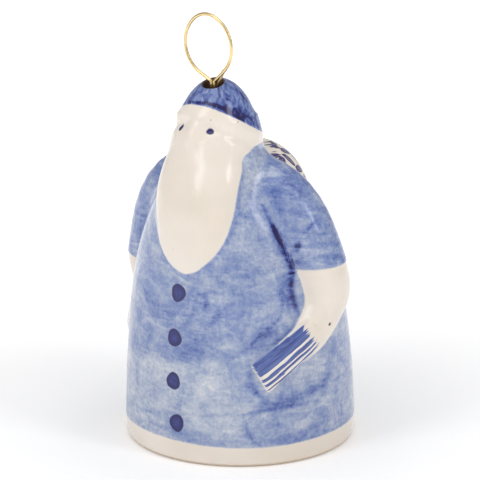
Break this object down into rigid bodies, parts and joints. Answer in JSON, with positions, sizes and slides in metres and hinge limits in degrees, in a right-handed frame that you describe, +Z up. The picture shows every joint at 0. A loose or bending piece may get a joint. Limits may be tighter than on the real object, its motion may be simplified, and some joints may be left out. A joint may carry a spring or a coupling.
{
  "type": "porcelain hand bell",
  "caption": "Hanging porcelain bell cast as a bearded figure in a long coat, with a wire hanging loop and a free-swinging clapper inside.",
  "frame": {"origin": "centre of the foot ring, in the plane the bell stands on", "axes": "+Z up; the figure faces -Y; its arms are at +X and -X"},
  "size_m": [0.0676, 0.0613, 0.117],
  "materials": {
    "porcelain": "white clear-glazed porcelain hand-painted in cobalt blue, unglazed foot edge",
    "brass_wire": "drawn brass wire, lightly tarnished",
    "bead_wood": "plain turned wood",
    "clapper_porcelain": "white glazed porcelain",
    "brass_tube": "crimped brass tube"
  },
  "bodies": {
    "bell": {"porcelain_shell": "porcelain"},
    "retainer": {"retainer_bead": "bead_wood"},
    "hanger": {"hanger_loop": "brass_wire"},
    "link": {"link_ring": "brass_wire"},
    "clapper": {"clapper_stem": "brass_wire", "clapper_ball": "clapper_porcelain", "clapper_stop": "brass_tube"}
  },
  "joints": [
    {"name": "hanger_lift", "type": "slide", "parent": "bell", "child": "retainer", "axis": [0, 0, 1], "range_m": [0, 0.0024]},
    {"name": "hanger_swivel", "type": "hinge", "parent": "retainer", "child": "hanger", "pos_m": [0, -0.0122, 0.09], "axis": [0, 0, 1], "continuous": true},
    {"name": "link_swing", "type": "hinge", "parent": "hanger", "child": "link", "pos_m": [0, -0.0122, 0.07938], "axis": [1, 0, 0], "range_deg": [-6.6, 6.6]},
    {"name": "clapper_swing", "type": "hinge", "parent": "link", "child": "clapper", "pos_m": [0, -0.0122, 0.07577], "axis": [0, 1, 0], "range_deg": [-6.6, 6.6]}
  ]
}
